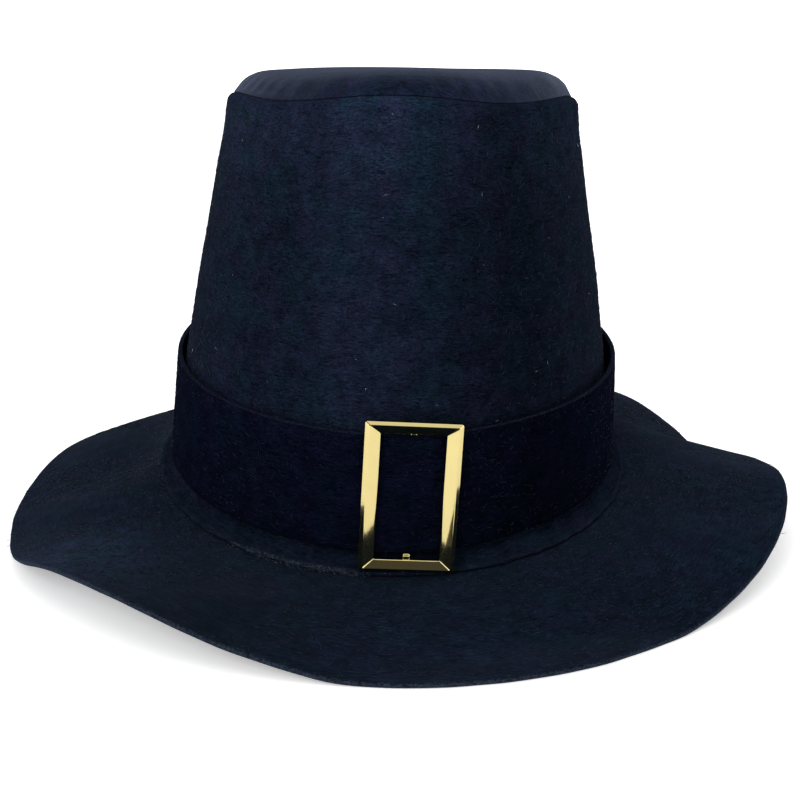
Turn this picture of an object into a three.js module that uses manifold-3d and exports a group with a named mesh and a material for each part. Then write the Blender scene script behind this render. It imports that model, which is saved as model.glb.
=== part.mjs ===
// Capotain hat: a tall tapered felt crown with a domed tip, a felt band with a gilt slide buckle, and a wavy brim.
// Millimetres, +Z up, front towards -Y. The crown is built upright in its own frame and then leans forward
// with the brim's root, because the brim hangs lower behind than in front. The hat rests on its brim at z = 0.

import * as THREE from 'three';
import { mergeVertices } from 'three/addons/utils/BufferGeometryUtils.js';
import Module from 'manifold-3d';

const wasm = await Module();
wasm.setup();

// Felt and clearances
const FELT = 1.8;
const PIECE_GAP = 0.35;

// Crown, upright in its own frame: z = 0 is the upper face of the brim where the crown is sewn on
const HEAD_HALF_WIDTH = 88;
const HEAD_HALF_LENGTH = 106;
const CROWN_HEIGHT = 143;
const CROWN_TOP_HALF_WIDTH = 65;
const CROWN_TOP_HALF_LENGTH = 78;
const CROWN_SWAY = 2.5;
const CROWN_LEAN_DEG = 6.9;
const FOOT_WIDTH = 6;
const FOOT_BEND = 3;

// Seam between crown side and tip
const SHOULDER_INSET = 2.4;
const SHOULDER_DROP = 3.2;
const SEAM_WAVES = 5;
const SEAM_WAVE_HEIGHT = 1.2;
const SEAM_WAVE_LOW_DEG = 232;
const TIP_RISE = 9.9;

// Band and its stand-off from the crown
const BAND_HEIGHT = 39.5;
const BAND_RISE = 8.4;
const BAND_FOOT_GAP = 0.5;
const BAND_TOP_GAP = 2.3;
const BAND_FRONT_GAP = 2.1;
const BAND_FLAT_DEG = 10;
const BAND_EASE_DEG = 16;

// Buckle: frame before the band, centre bar behind it
const BUCKLE_WIDTH = 32.6;
const BUCKLE_HEIGHT = 50.5;
const BUCKLE_DEPTH = 3.2;
const BUCKLE_STILE = 5.3;
const BUCKLE_RAIL = 4;
const BUCKLE_CENTRE_HEIGHT = 28.5;
const BUCKLE_AZIMUTH_DEG = 273.3;
const BUCKLE_TURN_DEG = 2.2;
const BAR_WIDTH = 2.4;
const BAR_THICKNESS = 1.1;
const BAR_GRIP = 1.2;
const BAR_FOOT = 2;
const BAR_END_GAP = 0.8;

// Brim: width beyond the foot, height of its root over the floor, and how softly it meets the floor
const BRIM_WIDTH = 60;
const BRIM_ROOT_HEIGHT = 23;
const FLOOR_EASE = 1.5;
const DROOP_POWER = 1.45;
const EDGE_ROUND = 0.5;

const AZIMUTH_STEPS = 60;

// Crown wall: taper goes from 0 at the foot to 1 at the top width, by share of the crown's height
const CROWN_PROFILE = [
  { height: 0.0, taper: 0.0 },
  { height: 0.06, taper: 0.035 },
  { height: 0.17, taper: 0.125 },
  { height: 0.336, taper: 0.257 },
  { height: 0.42, taper: 0.352 },
  { height: 0.56, taper: 0.513 },
  { height: 0.7, taper: 0.691 },
  { height: 0.84, taper: 0.857 },
  { height: 0.91, taper: 0.943 },
  { height: 1.0, taper: 1.0 },
];

// Crown tip: reach is a share of the seam's half-widths, rise a share of the tip's rise
const TIP_PROFILE = [
  { reach: 1.0, rise: 0.0 },
  { reach: 0.98, rise: 0.2 },
  { reach: 0.955, rise: 0.42 },
  { reach: 0.91, rise: 0.67 },
  { reach: 0.84, rise: 0.86 },
  { reach: 0.7, rise: 0.95 },
  { reach: 0.4, rise: 1.0 },
];

// Band: stand-off of the upper edge by azimuth, as a share of the stand-off at the sides
const BAND_STAND = [
  { azimuth: 0, share: 1.2 },
  { azimuth: 50, share: 1.0 },
  { azimuth: 90, share: 0.7 },
  { azimuth: 140, share: 0.9 },
  { azimuth: 180, share: 0.8 },
  { azimuth: 225, share: 0.55 },
  { azimuth: 300, share: 0.6 },
  { azimuth: 335, share: 1.15 },
];

// Brim edge: height over the floor by azimuth, as a share of the brim's width. Below zero it is pressed flat.
const BRIM_EDGE = [
  { azimuth: 0, height: 0.285 },
  { azimuth: 10, height: 0.208 },
  { azimuth: 20, height: 0.092 },
  { azimuth: 30, height: 0.176 },
  { azimuth: 45, height: 0.303 },
  { azimuth: 60, height: 0.278 },
  { azimuth: 75, height: 0.144 },
  { azimuth: 90, height: -0.06 },
  { azimuth: 105, height: -0.1 },
  { azimuth: 120, height: -0.033 },
  { azimuth: 135, height: 0.032 },
  { azimuth: 150, height: 0.112 },
  { azimuth: 165, height: 0.115 },
  { azimuth: 180, height: 0.063 },
  { azimuth: 190, height: 0.035 },
  { azimuth: 200, height: 0.02 },
  { azimuth: 208, height: 0.051 },
  { azimuth: 216, height: 0.124 },
  { azimuth: 225, height: 0.211 },
  { azimuth: 240, height: 0.216 },
  { azimuth: 255, height: 0.095 },
  { azimuth: 270, height: -0.03 },
  { azimuth: 285, height: -0.075 },
  { azimuth: 300, height: -0.05 },
  { azimuth: 315, height: 0.073 },
  { azimuth: 330, height: 0.216 },
  { azimuth: 345, height: 0.334 },
  { azimuth: 352, height: 0.334 },
];

// Brim cut: width by azimuth, as a share of the brim's width. It is cut by hand, a little wider in front.
const BRIM_CUT = [
  { azimuth: 0, width: 1.013 },
  { azimuth: 20, width: 0.988 },
  { azimuth: 40, width: 1.007 },
  { azimuth: 60, width: 1.005 },
  { azimuth: 90, width: 1.005 },
  { azimuth: 120, width: 1.003 },
  { azimuth: 140, width: 0.998 },
  { azimuth: 160, width: 1.0 },
  { azimuth: 180, width: 0.983 },
  { azimuth: 200, width: 0.99 },
  { azimuth: 215, width: 1.007 },
  { azimuth: 230, width: 0.968 },
  { azimuth: 245, width: 0.992 },
  { azimuth: 260, width: 1.015 },
  { azimuth: 275, width: 1.048 },
  { azimuth: 290, width: 1.042 },
  { azimuth: 305, width: 1.005 },
  { azimuth: 320, width: 1.018 },
  { azimuth: 340, width: 1.032 },
];

// Buckle section: across runs from the outer edge to the inner one, depth from the back to the front
const BUCKLE_SECTION = [
  { across: 0.0, depth: 0.0 },
  { across: 0.0, depth: 0.5 },
  { across: 0.18, depth: 0.9 },
  { across: 0.34, depth: 1.0 },
  { across: 0.66, depth: 1.0 },
  { across: 0.84, depth: 0.85 },
  { across: 1.0, depth: 0.4 },
  { across: 1.0, depth: 0.0 },
];

const LEAN = THREE.MathUtils.degToRad(CROWN_LEAN_DEG);
const FULL_TURN = 360;

function radians(degrees) {
  return THREE.MathUtils.degToRad(degrees);
}

// Smooth value of a table of rows between its first and last row
function alongTable(rows, key, value, at) {
  const last = rows.length - 1;
  let i = 0;
  while (i < last - 1 && at > rows[i + 1][key]) {
    i += 1;
  }
  const before = rows[Math.max(i - 1, 0)];
  const after = rows[Math.min(i + 2, last)];
  return hermite(before, rows[i], rows[i + 1], after, key, value, at);
}

// Smooth value of a table of rows that closes round the full turn
function roundTable(rows, value, at) {
  const azimuth = ((at % FULL_TURN) + FULL_TURN) % FULL_TURN;
  const row = (i) => {
    const turns = Math.floor(i / rows.length);
    const source = rows[i - turns * rows.length];
    return { azimuth: source.azimuth + turns * FULL_TURN, [value]: source[value] };
  };
  let i = 0;
  while (azimuth >= row(i + 1).azimuth) {
    i += 1;
  }
  return hermite(row(i - 1), row(i), row(i + 1), row(i + 2), 'azimuth', value, azimuth);
}

// Cubic through two rows, with slopes from their neighbours
function hermite(r0, r1, r2, r3, key, value, at) {
  const span = r2[key] - r1[key];
  const s = (at - r1[key]) / span;
  const slope1 = ((r2[value] - r0[value]) / (r2[key] - r0[key])) * span;
  const slope2 = ((r3[value] - r1[value]) / (r3[key] - r1[key])) * span;
  const s2 = s * s;
  const s3 = s2 * s;
  return (
    (2 * s3 - 3 * s2 + 1) * r1[value] +
    (s3 - 2 * s2 + s) * slope1 +
    (3 * s2 - 2 * s3) * r2[value] +
    (s3 - s2) * slope2
  );
}

// Height of the seam between side and tip: level over the floor, so it rises towards the front of the leaning crown
function seamHeight(degrees) {
  const fall = CROWN_TOP_HALF_LENGTH * Math.sin(radians(degrees)) * Math.tan(LEAN);
  const wave = SEAM_WAVE_HEIGHT * Math.cos(SEAM_WAVES * radians(degrees - SEAM_WAVE_LOW_DEG));
  return CROWN_HEIGHT - fall - wave;
}

// Point on the crown's outer wall, moved outwards by an offset
function crownPoint(degrees, z, offset) {
  const share = z / seamHeight(degrees);
  const taper = alongTable(CROWN_PROFILE, 'height', 'taper', share);
  const halfWidth = THREE.MathUtils.lerp(HEAD_HALF_WIDTH, CROWN_TOP_HALF_WIDTH, taper) + offset;
  const halfLength = THREE.MathUtils.lerp(HEAD_HALF_LENGTH, CROWN_TOP_HALF_LENGTH, taper) + offset;
  return new THREE.Vector3(
    halfWidth * Math.cos(radians(degrees)) + CROWN_SWAY * share,
    halfLength * Math.sin(radians(degrees)),
    z,
  );
}

// Closed solid from rings: each section function gives the closed loop of points at one azimuth.
// The loop runs up the outside and down the inside.
function ringSolid(section) {
  const loops = [];
  for (let i = 0; i < AZIMUTH_STEPS; i += 1) {
    loops.push(section((i * FULL_TURN) / AZIMUTH_STEPS));
  }
  const size = loops[0].length;
  const indices = [];
  for (let i = 0; i < AZIMUTH_STEPS; i += 1) {
    const next = (i + 1) % AZIMUTH_STEPS;
    for (let j = 0; j < size; j += 1) {
      const up = (j + 1) % size;
      const a = i * size + j;
      const b = next * size + j;
      const c = next * size + up;
      const d = i * size + up;
      indices.push(a, b, c, a, c, d);
    }
  }
  return geometryFrom(loops.flat(), indices);
}

function geometryFrom(points, indices) {
  const geometry = new THREE.BufferGeometry();
  geometry.setAttribute('position', new THREE.Float32BufferAttribute(points.flatMap((p) => p.toArray()), 3));
  geometry.setIndex(indices);
  geometry.computeVertexNormals();
  return geometry;
}

function crownSideGeometry() {
  return ringSolid((degrees) => {
    const top = seamHeight(degrees);
    const footTop = PIECE_GAP + FELT;
    const bendTop = footTop + FOOT_BEND;
    const wallTop = top - SHOULDER_DROP;
    const outerShares = [0.14, 0.3, 0.45, 0.6, 0.75, 0.9, 1];
    const innerShares = [1, 0.8, 0.6, 0.4, 0.2];
    const outer = outerShares.map((share) => crownPoint(degrees, THREE.MathUtils.lerp(bendTop, wallTop, share), 0));
    const inner = innerShares.map((share) => {
      return crownPoint(degrees, THREE.MathUtils.lerp(bendTop, wallTop, share), -FELT);
    });
    return [
      crownPoint(degrees, PIECE_GAP, FOOT_WIDTH),
      crownPoint(degrees, footTop, FOOT_WIDTH),
      crownPoint(degrees, footTop, FOOT_BEND),
      crownPoint(degrees, footTop + FOOT_BEND * 0.3, FOOT_BEND * 0.3),
      crownPoint(degrees, bendTop, 0),
      ...outer,
      crownPoint(degrees, top - SHOULDER_DROP * 0.35, -SHOULDER_INSET * 0.35),
      crownPoint(degrees, top, -SHOULDER_INSET),
      crownPoint(degrees, top - FELT, -SHOULDER_INSET - FELT * 0.6),
      ...inner,
      crownPoint(degrees, bendTop, -FELT),
      crownPoint(degrees, PIECE_GAP, -FELT),
    ];
  });
}

// Cap of rings and two poles, with its underside one felt thickness below
function crownTipGeometry() {
  const rimInset = SHOULDER_INSET;
  const ring = (row, drop, inset) => {
    const points = [];
    for (let i = 0; i < AZIMUTH_STEPS; i += 1) {
      const degrees = (i * FULL_TURN) / AZIMUTH_STEPS;
      const top = seamHeight(degrees);
      const rim = crownPoint(degrees, top, -rimInset - inset);
      const flat = CROWN_HEIGHT - rim.y * Math.tan(LEAN) * row.reach;
      const wave = top - (CROWN_HEIGHT - rim.y * Math.tan(LEAN));
      const z = flat + wave * row.reach ** 6 + PIECE_GAP + TIP_RISE * row.rise - drop;
      points.push(new THREE.Vector3((rim.x - CROWN_SWAY) * row.reach + CROWN_SWAY, rim.y * row.reach, z));
    }
    return points;
  };
  const lower = [...TIP_PROFILE].reverse();
  const rimRow = TIP_PROFILE[0];
  const rings = [
    ...lower.slice(0, -1).map((row) => ring(row, FELT, FELT)),
    ring(rimRow, 0, FELT),
    ...TIP_PROFILE.map((row) => ring(row, 0, 0)),
  ];
  const points = rings.flat();
  const indices = [];
  for (let r = 0; r < rings.length - 1; r += 1) {
    for (let i = 0; i < AZIMUTH_STEPS; i += 1) {
      const next = (i + 1) % AZIMUTH_STEPS;
      const a = r * AZIMUTH_STEPS + i;
      const b = r * AZIMUTH_STEPS + next;
      const c = (r + 1) * AZIMUTH_STEPS + next;
      const d = (r + 1) * AZIMUTH_STEPS + i;
      indices.push(a, b, c, a, c, d);
    }
  }
  const crest = CROWN_HEIGHT + PIECE_GAP + TIP_RISE;
  const underPole = points.length;
  const topPole = underPole + 1;
  points.push(new THREE.Vector3(CROWN_SWAY, 0, crest - FELT), new THREE.Vector3(CROWN_SWAY, 0, crest));
  const lastRing = (rings.length - 1) * AZIMUTH_STEPS;
  for (let i = 0; i < AZIMUTH_STEPS; i += 1) {
    const next = (i + 1) % AZIMUTH_STEPS;
    indices.push(underPole, next, i);
    indices.push(topPole, lastRing + i, lastRing + next);
  }
  return geometryFrom(points, indices);
}

// Gap between crown and band at a share of the band's height: it opens upwards, and is even at the buckle
function bandGap(degrees, share) {
  const stand = BAND_TOP_GAP * roundTable(BAND_STAND, 'share', degrees);
  const open = THREE.MathUtils.lerp(BAND_FOOT_GAP, stand, share);
  const away = Math.abs(degrees - BUCKLE_AZIMUTH_DEG);
  const ease = THREE.MathUtils.smoothstep(away, BAND_FLAT_DEG, BAND_FLAT_DEG + BAND_EASE_DEG);
  return THREE.MathUtils.lerp(BAND_FRONT_GAP, open, ease);
}

function bandPoint(degrees, share, outwards) {
  return crownPoint(degrees, BAND_RISE + BAND_HEIGHT * share, bandGap(degrees, share) + outwards);
}

function hatbandGeometry() {
  const shares = [0, 0.35, 0.7, 1];
  return ringSolid((degrees) => [
    ...shares.map((share) => bandPoint(degrees, share, FELT)),
    ...[...shares].reverse().map((share) => bandPoint(degrees, share, 0)),
  ]);
}

// Merged closed geometry to a manifold solid
function toSolid(geometry) {
  geometry.deleteAttribute('normal');
  geometry.deleteAttribute('uv');
  const merged = mergeVertices(geometry);
  return new wasm.Manifold(
    new wasm.Mesh({
      numProp: 3,
      vertProperties: new Float32Array(merged.attributes.position.array),
      triVerts: new Uint32Array(merged.index.array),
    }),
  );
}

function fromSolid(solid) {
  const mesh = solid.getMesh();
  const geometry = new THREE.BufferGeometry();
  geometry.setAttribute('position', new THREE.Float32BufferAttribute(Array.from(mesh.vertProperties), 3));
  geometry.setIndex(Array.from(mesh.triVerts));
  geometry.computeVertexNormals();
  return geometry;
}

// Mitred frame: the section's points at each of the four corners. Local y = 0 is its back, -y its front.
function buckleFrame() {
  const corners = [
    [-1, -1],
    [1, -1],
    [1, 1],
    [-1, 1],
  ];
  const points = [];
  for (const [sideX, sideZ] of corners) {
    for (const { across, depth } of BUCKLE_SECTION) {
      const x = sideX * (BUCKLE_WIDTH / 2 - across * BUCKLE_STILE);
      const z = sideZ * (BUCKLE_HEIGHT / 2 - across * BUCKLE_RAIL);
      points.push(new THREE.Vector3(x, -depth * BUCKLE_DEPTH, z));
    }
  }
  const size = BUCKLE_SECTION.length;
  const indices = [];
  for (let c = 0; c < corners.length; c += 1) {
    const next = (c + 1) % corners.length;
    for (let j = 0; j < size; j += 1) {
      const up = (j + 1) % size;
      indices.push(c * size + j, next * size + j, next * size + up);
      indices.push(c * size + j, next * size + up, c * size + up);
    }
  }
  return geometryFrom(points, indices);
}

function block(width, depth, height, x, y, z) {
  return new THREE.BoxGeometry(width, depth, height).translate(x, y, z);
}

// Frame and centre bar as one solid. The bar's feet reach back past the band's upper and lower edges.
function buckleGeometry() {
  const barFront = PIECE_GAP + FELT + (BAND_FRONT_GAP - BAR_THICKNESS) / 2;
  const barBack = barFront + BAR_THICKNESS;
  const bandLow = BAND_RISE - BUCKLE_CENTRE_HEIGHT;
  const bandHigh = bandLow + BAND_HEIGHT;
  const footLow = bandLow - BAR_END_GAP - BAR_FOOT;
  const footHigh = bandHigh + BAR_END_GAP + BAR_FOOT;
  const barCentre = (footLow + footHigh) / 2;
  const bar = block(BAR_WIDTH, BAR_THICKNESS, footHigh - footLow, 0, (barFront + barBack) / 2, barCentre);
  let solid = toSolid(buckleFrame()).add(toSolid(bar));
  const reach = barBack + BAR_GRIP;
  for (const centre of [footLow + BAR_FOOT / 2, footHigh - BAR_FOOT / 2]) {
    solid = solid.add(toSolid(block(BAR_WIDTH, reach, BAR_FOOT, 0, barBack - reach / 2, centre)));
  }
  return fromSolid(solid);
}

// Direction of a half-ellipse's outward normal in plan
function planNormal(degrees, halfWidth, halfLength) {
  return new THREE.Vector3(
    halfLength * Math.cos(radians(degrees)),
    halfWidth * Math.sin(radians(degrees)),
    0,
  ).normalize();
}

// Place of a point of the crown's frame over the floor
function leanOver(point) {
  return point.clone().applyAxisAngle(new THREE.Vector3(1, 0, 0), LEAN).add(new THREE.Vector3(0, 0, BRIM_ROOT_HEIGHT));
}

// A height that fades to exactly zero where it would go below the floor
function settle(height) {
  if (height <= -FLOOR_EASE) {
    return 0;
  }
  if (height >= FLOOR_EASE) {
    return height;
  }
  return (height + FLOOR_EASE) ** 2 / (4 * FLOOR_EASE);
}

// Upper face of the brim over the floor: s = 0 at the edge of the crown's foot, 1 at the brim's edge, and
// negative under the foot, where it lies in the foot's plane
function brimTop(degrees, s) {
  const foot = crownPoint(degrees, 0, FOOT_WIDTH);
  if (s <= 0) {
    const opening = crownPoint(degrees, 0, -FELT);
    return leanOver(foot.lerp(opening, -s));
  }
  const root = leanOver(foot);
  const normal = planNormal(degrees, HEAD_HALF_WIDTH + FOOT_WIDTH, HEAD_HALF_LENGTH + FOOT_WIDTH);
  const edgeHeight = BRIM_WIDTH * roundTable(BRIM_EDGE, 'height', degrees) + FELT;
  const drop = edgeHeight - root.z;
  const width = BRIM_WIDTH * roundTable(BRIM_CUT, 'width', degrees);
  const reach = Math.sqrt(width ** 2 - drop ** 2);
  const start = normal.y * Math.tan(LEAN) * reach;
  const z = root.z + start * s + (drop - start) * s ** DROOP_POWER;
  return new THREE.Vector3(root.x + normal.x * reach * s, root.y + normal.y * reach * s, z);
}

// Point below the upper face along the surface's normal
function brimUnder(degrees, s, depth) {
  const step = 0.01;
  const here = brimTop(degrees, s);
  const along = brimTop(degrees, s + step).sub(brimTop(degrees, s - step));
  const around = brimTop(degrees + 1, s).sub(brimTop(degrees - 1, s));
  const normal = along.cross(around).normalize();
  return here.addScaledVector(normal, -depth);
}

function brimGeometry() {
  const topShares = [0.1, 0.25, 0.4, 0.55, 0.7, 0.82, 0.92];
  const underShares = [1, 0.86, 0.7, 0.52, 0.34, 0.17];
  const rest = (point, floor) => {
    point.z = floor + settle(point.z - floor);
    return point;
  };
  return ringSolid((degrees) => [
    rest(brimUnder(degrees, -1, FELT), 0),
    ...[...underShares, 0].reverse().map((s) => rest(brimUnder(degrees, s, FELT), 0)),
    rest(brimUnder(degrees, 1, EDGE_ROUND), FELT - EDGE_ROUND).add(
      planNormal(degrees, HEAD_HALF_WIDTH, HEAD_HALF_LENGTH).multiplyScalar(EDGE_ROUND),
    ),
    rest(brimTop(degrees, 1), FELT),
    ...[...topShares].reverse().map((s) => rest(brimTop(degrees, s), FELT)),
    brimTop(degrees, 0),
    brimTop(degrees, -1),
  ]);
}

function felt(color) {
  return new THREE.MeshStandardMaterial({ color, roughness: 0.95, metalness: 0 });
}

function piece(name, geometry, material) {
  const mesh = new THREE.Mesh(geometry, material);
  mesh.name = name;
  return mesh;
}

const crownFelt = felt(0x1a2233);
const bandFelt = felt(0x0c1120);
const brimFelt = felt(0x161f2e);
const gilt = new THREE.MeshStandardMaterial({ color: 0xd9b45c, roughness: 0.2, metalness: 1 });

// Turns the buckle's frame to the band: clockwise turn, lean of the band, then round to its azimuth
function placeBuckle(buckle) {
  const middle = (BUCKLE_CENTRE_HEIGHT - BAND_RISE) / BAND_HEIGHT;
  const seat = bandPoint(BUCKLE_AZIMUTH_DEG, middle, FELT);
  const high = bandPoint(BUCKLE_AZIMUTH_DEG, 1, FELT);
  const low = bandPoint(BUCKLE_AZIMUTH_DEG, 0, FELT);
  const normal = planNormal(BUCKLE_AZIMUTH_DEG, HEAD_HALF_WIDTH, HEAD_HALF_LENGTH);
  const lean = Math.atan2(high.clone().sub(low).dot(normal), BAND_HEIGHT);
  buckle.rotation.order = 'ZXY';
  buckle.rotation.set(lean, radians(BUCKLE_TURN_DEG), Math.atan2(normal.x, -normal.y));
  buckle.position.copy(seat.addScaledVector(normal, PIECE_GAP));
  return buckle;
}

const crown = new THREE.Group();
crown.add(piece('crown_side', crownSideGeometry(), crownFelt));
crown.add(piece('crown_tip', crownTipGeometry(), crownFelt));
crown.add(piece('hatband', hatbandGeometry(), bandFelt));
crown.add(placeBuckle(piece('buckle', buckleGeometry(), gilt)));
crown.rotation.x = LEAN;
crown.position.z = BRIM_ROOT_HEIGHT;

const hat = new THREE.Group();
hat.add(crown);
hat.add(piece('brim', brimGeometry(), brimFelt));

// The origin is below the middle of the hat's box
const box = new THREE.Box3().setFromObject(hat, true);
const middle = box.getCenter(new THREE.Vector3());
hat.position.set(-middle.x, -middle.y, 0);

export default hat;
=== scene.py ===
"""Capotain hat: crown, tip, band and brim of needled felt with a gilt slide buckle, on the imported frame."""

import math

import bpy
import numpy as np
from bpy.props import FloatProperty, FloatVectorProperty, IntProperty, PointerProperty
from bpy.types import Operator, Panel, PropertyGroup
from mathutils import Matrix, Vector


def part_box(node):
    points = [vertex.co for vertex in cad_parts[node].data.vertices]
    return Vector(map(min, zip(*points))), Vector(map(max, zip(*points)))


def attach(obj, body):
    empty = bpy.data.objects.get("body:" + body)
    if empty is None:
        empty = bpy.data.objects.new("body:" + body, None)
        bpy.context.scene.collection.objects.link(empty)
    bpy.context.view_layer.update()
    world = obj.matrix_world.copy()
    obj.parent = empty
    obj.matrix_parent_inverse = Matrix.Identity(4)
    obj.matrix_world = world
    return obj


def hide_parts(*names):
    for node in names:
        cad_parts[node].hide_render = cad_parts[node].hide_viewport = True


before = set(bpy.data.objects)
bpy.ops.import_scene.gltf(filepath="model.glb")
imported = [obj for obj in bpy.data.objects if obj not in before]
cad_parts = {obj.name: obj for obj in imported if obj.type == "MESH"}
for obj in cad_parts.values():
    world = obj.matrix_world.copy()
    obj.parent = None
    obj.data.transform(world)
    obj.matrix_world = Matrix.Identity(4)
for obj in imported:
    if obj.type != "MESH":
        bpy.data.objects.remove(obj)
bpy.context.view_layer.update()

bl_info = {
    "name": "Capotain hat",
    "version": (1, 0, 0),
    "blender": (4, 5, 0),
    "location": "View3D > Sidebar > Capotain",
    "description": "Builds a tall felt hat with a band, a gilt buckle and a wavy brim",
    "category": "Object",
}

MM = 0.001
TURN = 2 * math.pi
HAT_BODY = "root"

# Crown wall: share of the crown's height, and taper from 0 at the foot to 1 at the top width
CROWN_PROFILE = [
    (0.0, 0.0),
    (0.06, 0.035),
    (0.17, 0.125),
    (0.336, 0.257),
    (0.42, 0.352),
    (0.56, 0.513),
    (0.7, 0.691),
    (0.84, 0.857),
    (0.91, 0.943),
    (1.0, 1.0),
]

# Crown tip: share of the way out to the seam, and share of the tip's rise
TIP_PROFILE = [
    (0.0, 1.0),
    (0.4, 1.0),
    (0.7, 0.95),
    (0.84, 0.86),
    (0.91, 0.67),
    (0.955, 0.42),
    (0.98, 0.2),
    (1.0, 0.0),
]

# Band: azimuth in degrees, and stand-off of the upper edge as a share of that at the sides
BAND_STAND = [
    (0, 1.2),
    (50, 1.0),
    (90, 0.7),
    (140, 0.9),
    (180, 0.8),
    (225, 0.55),
    (300, 0.6),
    (335, 1.15),
]

# Brim edge: azimuth in degrees, and height over the floor as a share of the brim's width
BRIM_EDGE = [
    (0, 0.285),
    (10, 0.208),
    (20, 0.092),
    (30, 0.176),
    (45, 0.303),
    (60, 0.278),
    (75, 0.144),
    (90, -0.06),
    (105, -0.1),
    (120, -0.033),
    (135, 0.032),
    (150, 0.112),
    (165, 0.115),
    (180, 0.063),
    (190, 0.035),
    (200, 0.02),
    (208, 0.051),
    (216, 0.124),
    (225, 0.211),
    (240, 0.216),
    (255, 0.095),
    (270, -0.03),
    (285, -0.075),
    (300, -0.05),
    (315, 0.073),
    (330, 0.216),
    (345, 0.334),
    (352, 0.334),
]

# Brim cut: azimuth in degrees, and width as a share of the brim's width
BRIM_CUT = [
    (0, 1.013),
    (20, 0.988),
    (40, 1.007),
    (60, 1.005),
    (90, 1.005),
    (120, 1.003),
    (140, 0.998),
    (160, 1.0),
    (180, 0.983),
    (200, 0.99),
    (215, 1.007),
    (230, 0.968),
    (245, 0.992),
    (260, 1.015),
    (275, 1.048),
    (290, 1.042),
    (305, 1.005),
    (320, 1.018),
    (340, 1.032),
]

# Buckle section: share from the outer edge to the inner one, and share of the depth from back to front
BUCKLE_SECTION = [
    (0.0, 0.0),
    (0.0, 0.5),
    (0.025, 0.66),
    (0.235, 0.94),
    (0.265, 0.98),
    (0.3, 1.0),
    (0.335, 0.985),
    (0.45, 0.93),
    (0.6, 0.855),
    (0.75, 0.77),
    (0.9, 0.675),
    (0.955, 0.64),
    (1.0, 0.58),
    (1.0, 0.0),
]

# Crown wall: azimuth in degrees, and a factor of painted light and shade there, lighter where its dents face the
# key light and darker where they turn away
CROWN_PAINTED_SHADING = [
    (0, 1.0),
    (60, 0.9),
    (120, 1.1),
    (170, 0.9),
    (200, 0.95),
    (222, 1.05),
    (238, 0.9),
    (259, 1.3),
    (275, 1.05),
    (288, 0.8),
    (303, 0.55),
    (325, 0.8),
]

# Brim: azimuth in degrees, and a factor of painted light and shade there, where its creases and upturned parts
# face or turn from the light
BRIM_PAINTED_SHADING = [
    (20, 1.0),
    (90, 1.0),
    (165, 1.0),
    (188, 1.15),
    (206, 1.15),
    (212, 1.3),
    (217, 1.9),
    (225, 1.8),
    (234, 1.15),
    (242, 0.75),
    (252, 0.75),
    (263, 1.0),
    (278, 1.05),
    (300, 0.95),
    (328, 1.15),
    (350, 1.2),
]

# Slow dents of the crown wall: waves round, waves up, depth in millimetres, phase
CROWN_DENTS = [
    (3, 0.6, 0.5, 0.4),
    (5, 0.4, 0.4, 2.1),
    (8, 1.3, 0.25, 4.0),
    (13, 0.8, 0.16, 1.2),
]

# Slow dents of the tip: waves across in X and Y, depth in millimetres, phase
TIP_DENTS = [
    (0.9, 0.5, 0.35, 3.1),
    (0.5, 1.5, 0.3, 2.4),
    (2.6, 1.9, 0.12, 4.4),
]

# Felt of each piece: share of fibres that lie level, and weight of the sheen
FELT_FINISH = {
    "crown": (0.4, 0.02),
    "tip": (0.5, 0.26),
    "band": (0.5, 0.006),
    "brim": (0.65, 0.06),
}

# Patterns of the felt: size of one feature in millimetres
PATCH_MM = 9.0909
DRIFT_MM = 13.3333
MOTTLE_MM = 6.6667
BLOTCH_MM = 14.2857
FUZZ_MM = 0.66667

# Streaks of the felt: turn in degrees, length and width in millimetres
LEVEL_STREAKS = (9, 4.2, 0.7)
RISING_STREAKS = (63, 3.4, 0.7)
FALLING_STREAKS = (-48, 3.8, 0.65)

# How deep the roots of the nap lie in the felt
NAP_SINK = 0.08 * MM

# Centre bar of the buckle: half its width, half its thickness
BAR_HALF_WIDTH = 1.2 * MM
BAR_HALF_THICKNESS = 0.55 * MM

# Azimuths in degrees between which the brim sags at the rear left: start, full, full, end
SLACK_SPAN = (111.727, 137.510, 180.482, 200.535)

# Camera: the photo's side and the focal length in pixels, its place in metres before the frame's shift, its tilt
PHOTO_SIDE_PX = 800
CAMERA_FOCAL_PX = 1300
CAMERA_PLACE = (0.0029, -0.5186, 0.1718)
CAMERA_PITCH_DEG = 13.9
CAMERA_ROLL_DEG = 0.72

# Soft overhead dome: radiance at the horizon and overhead
DOME_LOW = 0.15
DOME_HIGH = 1.1

# Floor and backdrop: sizes in metres, and the light that each gives off by itself
FLOOR_HALF = 9.0
BACKDROP_RADIUS = 8.0
BACKDROP_HEIGHT = 5.0
FLOOR_GLOW = 0.4
BACKDROP_GLOW = 1.1
CARD_GREY = (0.075, 0.075, 0.078, 1)

# Dark cards that only the gilt mirrors: name, and corners in metres
DARK_CARDS = [
    ("card_low", [
        (-0.016, -0.1, 0.0008),
        (-0.015, -0.17, 0.0008),
        (-0.02, -0.205, 0.0008),
        (-0.021, -0.25, 0.0008),
        (-0.01, -0.28, 0.0008),
        (0.015, -0.28, 0.0008),
        (0.036, -0.262, 0.0008),
        (0.042, -0.23, 0.0008),
        (0.038, -0.2, 0.0008),
        (0.036, -0.165, 0.0008),
        (0.036, -0.1, 0.0008),
    ]),
    ("card_high", [
        (-0.8, -0.9, 0.16),
        (-0.8, -0.75, 0.95),
        (0.8, -0.75, 0.95),
        (0.8, -0.9, 0.16),
    ]),
]

# Soft lamps: name, place, size in metres, power in watts, and the point that each is turned to
LIGHTS = [
    ("key_left", (-0.55, -1.3, 0.9), 0.7, 9.0, (0, 0, 0.1)),
    ("side_right", (1.4, 0.5, 0.6), 0.5, 1.2, (0, 0, 0.1)),
]


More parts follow.
